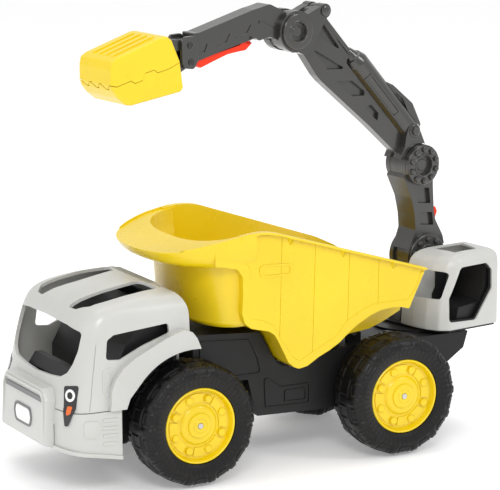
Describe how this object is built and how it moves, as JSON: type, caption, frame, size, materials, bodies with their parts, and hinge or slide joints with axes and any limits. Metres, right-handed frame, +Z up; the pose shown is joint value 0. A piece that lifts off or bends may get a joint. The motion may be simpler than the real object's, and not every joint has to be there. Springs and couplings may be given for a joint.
{
  "type": "toy dump truck with excavator",
  "caption": "Large push-along toy dump truck: tipping skip, four free-rolling wheels and a swivelling rear digger cab with a jointed arm and a trigger-worked clamshell bucket.",
  "frame": {"origin": "on the floor, under the middle of the part's overall length and width", "axes": "+X towards the truck's front, +Y to the driver's left, +Z up"},
  "size_m": [0.7066, 0.294, 0.623],
  "materials": {
    "white_plastic": "satin moulded polypropylene",
    "yellow_plastic": "satin moulded polypropylene",
    "black_plastic": "fine matt texture",
    "dark_grey_plastic": "satin moulded polypropylene",
    "tyre_plastic": "blow-moulded, satin",
    "red_plastic": "satin",
    "steel": "zinc-plated",
    "label_black": "printed label",
    "label_white": "printed label"
  },
  "bodies": {
    "vehicle": {"chassis": "dark_grey_plastic", "front_axle": "steel", "rear_axle": "steel", "axle_nuts": "steel", "cab_shell": "white_plastic", "front_bumper": "white_plastic", "grille_box": "white_plastic", "grille_stripe": "label_black", "grille_badge": "label_white", "headlight_left": "label_black", "headlight_right": "label_black", "cab_liner": "black_plastic", "dashboard": "black_plastic", "bed_hinge_pin": "steel", "turntable_base": "black_plastic"},
    "wheel_front_left": {"tyre_front_left": "tyre_plastic", "hub_front_left": "yellow_plastic", "hub_screw_front_left": "steel"},
    "wheel_front_right": {"tyre_front_right": "tyre_plastic", "hub_front_right": "yellow_plastic", "hub_screw_front_right": "steel"},
    "wheel_rear_left": {"tyre_rear_left": "tyre_plastic", "hub_rear_left": "yellow_plastic", "hub_screw_rear_left": "steel"},
    "wheel_rear_right": {"tyre_rear_right": "tyre_plastic", "hub_rear_right": "yellow_plastic", "hub_screw_rear_right": "steel"},
    "skip": {"dump_bed": "yellow_plastic"},
    "turret": {"turret_platform": "dark_grey_plastic", "turret_washer": "black_plastic", "digger_cab": "white_plastic", "digger_seat": "black_plastic", "shoulder_tower": "dark_grey_plastic", "shoulder_pin": "steel"},
    "lower_arm": {"lower_boom_left": "dark_grey_plastic", "lower_boom_right": "dark_grey_plastic", "shoulder_rings": "dark_grey_plastic", "elbow_rings": "dark_grey_plastic", "elbow_pin": "steel", "lever_pin": "steel"},
    "lever": {"lock_lever": "red_plastic"},
    "upper_arm": {"upper_boom_left": "dark_grey_plastic", "upper_boom_right": "dark_grey_plastic", "boom_cylinder": "dark_grey_plastic", "boom_rod": "dark_grey_plastic", "rod_pin": "steel", "cylinder_pin": "steel", "wrist_rings": "dark_grey_plastic", "wrist_pin": "steel"},
    "forearm": {"stick_left": "dark_grey_plastic", "stick_right": "dark_grey_plastic", "yoke_left": "dark_grey_plastic", "yoke_right": "dark_grey_plastic", "yoke_pins": "steel", "trigger_pin": "steel", "trigger_spring": "steel"},
    "finger_lever": {"trigger": "red_plastic"},
    "top_jaw": {"upper_jaw": "yellow_plastic"},
    "bottom_jaw": {"lower_jaw": "yellow_plastic"}
  },
  "joints": [
    {"name": "front_left_roll", "type": "hinge", "parent": "vehicle", "child": "wheel_front_left", "pos_m": [0.16036, 0.114, 0.085], "axis": [0, 1, 0], "continuous": true},
    {"name": "front_right_roll", "type": "hinge", "parent": "vehicle", "child": "wheel_front_right", "pos_m": [0.16036, -0.114, 0.085], "axis": [0, 1, 0], "continuous": true},
    {"name": "rear_left_roll", "type": "hinge", "parent": "vehicle", "child": "wheel_rear_left", "pos_m": [-0.15564, 0.114, 0.085], "axis": [0, 1, 0], "continuous": true},
    {"name": "rear_right_roll", "type": "hinge", "parent": "vehicle", "child": "wheel_rear_right", "pos_m": [-0.15564, -0.114, 0.085], "axis": [0, 1, 0], "continuous": true},
    {"name": "bed_tip", "type": "hinge", "parent": "vehicle", "child": "skip", "pos_m": [-0.12564, 0, 0.16], "axis": [0, -1, 0], "range_deg": [0, 30]},
    {"name": "turret_swivel", "type": "hinge", "parent": "vehicle", "child": "turret", "pos_m": [-0.24764, 0, 0.1504], "axis": [0, 0, 1], "range_deg": [-25, 90]},
    {"name": "shoulder", "type": "hinge", "parent": "turret", "child": "lower_arm", "pos_m": [-0.27342, -0.01776, 0.243], "axis": [-0.1392, 0.9903, 0], "range_deg": [-20, 15]},
    {"name": "elbow", "type": "hinge", "parent": "lower_arm", "child": "upper_arm", "pos_m": [-0.26154, -0.01609, 0.377], "axis": [-0.1392, 0.9903, 0], "range_deg": [-25, 18]},
    {"name": "wrist", "type": "hinge", "parent": "upper_arm", "child": "forearm", "pos_m": [-0.0417, 0.01481, 0.5835], "axis": [-0.1392, 0.9903, 0], "range_deg": [-30, 45]},
    {"name": "lever_press", "type": "hinge", "parent": "lower_arm", "child": "lever", "pos_m": [-0.28134, -0.01887, 0.3], "axis": [-0.1392, 0.9903, 0], "range_deg": [0, 12], "stiffness_Nm_per_rad": 0.05, "springref_deg": -5.73},
    {"name": "finger_pull", "type": "hinge", "parent": "forearm", "child": "finger_lever", "pos_m": [0.03059, 0.02497, 0.58], "axis": [0.1392, -0.9903, 0], "range_deg": [0, 12], "stiffness_Nm_per_rad": 0.3, "springref_deg": -20.05},
    {"name": "lower_jaw_open", "type": "hinge", "parent": "forearm", "child": "bottom_jaw", "pos_m": [0.13061, 0.03902, 0.5566], "axis": [-0.1392, 0.9903, 0], "range_deg": [0, 35]},
    {"name": "upper_jaw_open", "type": "hinge", "parent": "forearm", "child": "top_jaw", "pos_m": [0.1321, 0.03923, 0.579], "axis": [0.1392, -0.9903, 0], "range_deg": [0, 15]}
  ],
  "couplings": [
    {"joint": "lower_jaw_open", "follows": "finger_pull", "ratio": 2.9166},
    {"joint": "upper_jaw_open", "follows": "finger_pull", "ratio": 1.2499}
  ]
}
